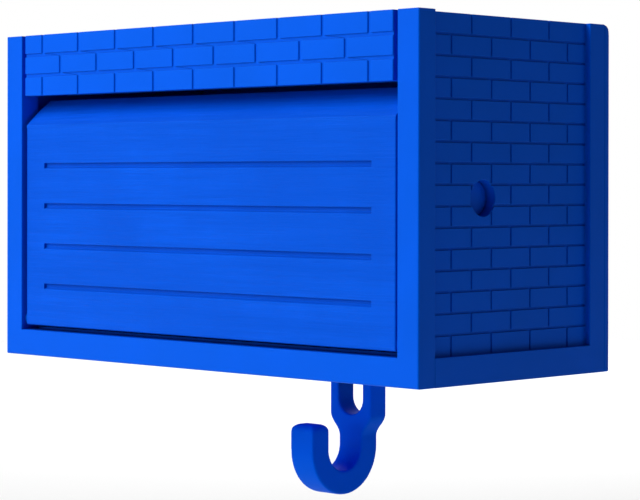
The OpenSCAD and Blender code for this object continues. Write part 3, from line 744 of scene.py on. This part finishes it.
# %% Round the edges of every piece but the hook and the spring
body_of = {
    name: body for body, names in record["behaviour"]["bodies"].items() for name in names
}
soft_edges = {
    "front_frame": 0.45, "header_panel": 0.60, "side_panel_left": 0.30, "side_panel_right": 0.30,
    "back_plate": 0.8, "roof_panel": 0.4, "floor_pan": 0.4, "door_panel": 0.35, "push_bolt": 0.4,
    "rain_flap": 0.3, "bolt_housing": 0.3, "bolt_strike": 0.3, "hook_bracket": 0.35,
    "hook_bush": 0.3, "hook_bolt": 0.25, "hook_nut": 0.25, "hook_washers": 0.15,
    "bracket_screws": 0.2, "bracket_nuts": 0.2, "back_screws": 0.1, "frame_screws": 0.1,
    "roof_screws": 0.1, "floor_screws": 0.1, "header_screws": 0.1, "strike_screws": 0.1,
    "housing_screws": 0.1, "flap_rod": 0.2, "hinge_pins": 0.2, "hinge_bushes": 0.2,
    "catch_magnets": 0.25, "catch_plates": 0.15, "door_bumpers": 0.5,
}
for name, width in soft_edges.items():
    softened(name, body_of[name], width * MM)

# %% [markdown]
# ## The hook's rounded bar
#
# The hook is one thick moulding whose edges are rounded much more than the case's, so that a strap
# doesn't chafe on them. A bevel that wide runs into itself where the curves are tight. Remeshing
# works better: the hook is rebuilt from small even squares, and smoothing then pulls every edge round
# while the flat flanks stay flat.

# %% Rebuild the hook and round it
hook_mesh = frame["nodes"]["hook"].data.copy()
hook_mesh.name = "hook_round"
hook_mesh.materials.clear()
hook_mesh.materials.append(finishes["hook_plastic"])
hook = mesh_object("hook_round", hook_mesh, "hook")
rebuilt = hook.modifiers.new("rebuild evenly", "REMESH")
rebuilt.mode = "VOXEL"
rebuilt.voxel_size = 0.7 * MM
rebuilt.use_smooth_shade = True
rounded_off = hook.modifiers.new("round the edges", "SMOOTH")
rounded_off.factor = 0.5
rounded_off.iterations = 14
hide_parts("hook")
print("hook: rebuilt from squares of", round(rebuilt.voxel_size / MM, 2), "mm")

# %% [markdown]
# ## The bolt's spring
#
# The mechanical model has the spring as a plain coil. A real one is wound from round wire, and its
# two end turns lie almost flat so that it sits square. Here a circle is carried along the helix ring
# by ring, which keeps full control of where the turns close up. The spring must shorten when the bolt
# is pushed; here only its pushed length is worked out, and the coil keeps its free length.

# %% Wind the spring
TURNS = 5.5
END_TURN = 0.75
END_CLOSENESS = 0.9
STEPS_PER_TURN = 36
RING_POINTS = 10

spring_low, spring_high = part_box("bolt_spring")
wire_r = 0.4 * MM
coil_r = (spring_high.y - spring_low.y) / 2 - wire_r
centre_y = (spring_low.y + spring_high.y) / 2
centre_z = (spring_low.z + spring_high.z) / 2
first_x, last_x = spring_low.x + wire_r, spring_high.x - wire_r
end_rise = END_CLOSENESS * 2 * wire_r / (last_x - first_x)


def along_spring(turn):
    """How far along the spring its wire is after this many turns, from 0 to 1."""
    first_end = min(turn, END_TURN) / END_TURN
    body = min(max((turn - END_TURN) / (TURNS - 2 * END_TURN), 0), 1)
    last_end = min(max((turn - TURNS + END_TURN) / END_TURN, 0), 1)
    return end_rise * first_end + (1 - 2 * end_rise) * body + end_rise * last_end


work = bmesh.new()
rings = []
for k in range(int(TURNS * STEPS_PER_TURN) + 1):
    turn = k / STEPS_PER_TURN
    angle = 2 * math.pi * turn
    outward = Vector((0, math.cos(angle), math.sin(angle)))
    on_axis = Vector((first_x + along_spring(turn) * (last_x - first_x), centre_y, centre_z))
    ring = []
    for j in range(RING_POINTS):
        spin = 2 * math.pi * j / RING_POINTS
        offset = (outward * math.cos(spin) + Vector((1, 0, 0)) * math.sin(spin)) * wire_r
        ring.append(work.verts.new(on_axis + outward * coil_r + offset))
    rings.append(ring)
for a, b in zip(rings, rings[1:]):
    for j in range(RING_POINTS):
        n = (j + 1) % RING_POINTS
        work.faces.new((a[j], a[n], b[n], b[j]))
work.faces.new(rings[0])
work.faces.new(list(reversed(rings[-1])))
bmesh.ops.recalc_face_normals(work, faces=work.faces)
for face in work.faces:
    face.smooth = len(face.verts) == 4
spring_mesh = bpy.data.meshes.new("spring_coil")
work.to_mesh(spring_mesh)
work.free()
spring_mesh.materials.append(finishes["spring_steel"])
spring = mesh_object("spring_coil", spring_mesh, "case")
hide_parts("bolt_spring")

# %% How far the spring shortens when the bolt is pushed
joints = {joint["name"]: joint for joint in record["behaviour"]["joints"]}
travel = joints["bolt_push"]["range_m"][1]
free_length = spring_high.x - spring_low.x
keep = 1 - travel / free_length
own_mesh(spring)
pushed_length = keep * free_length
print("spring:", round(free_length / MM, 2), "mm, pushed", round(pushed_length / MM, 2), "mm")
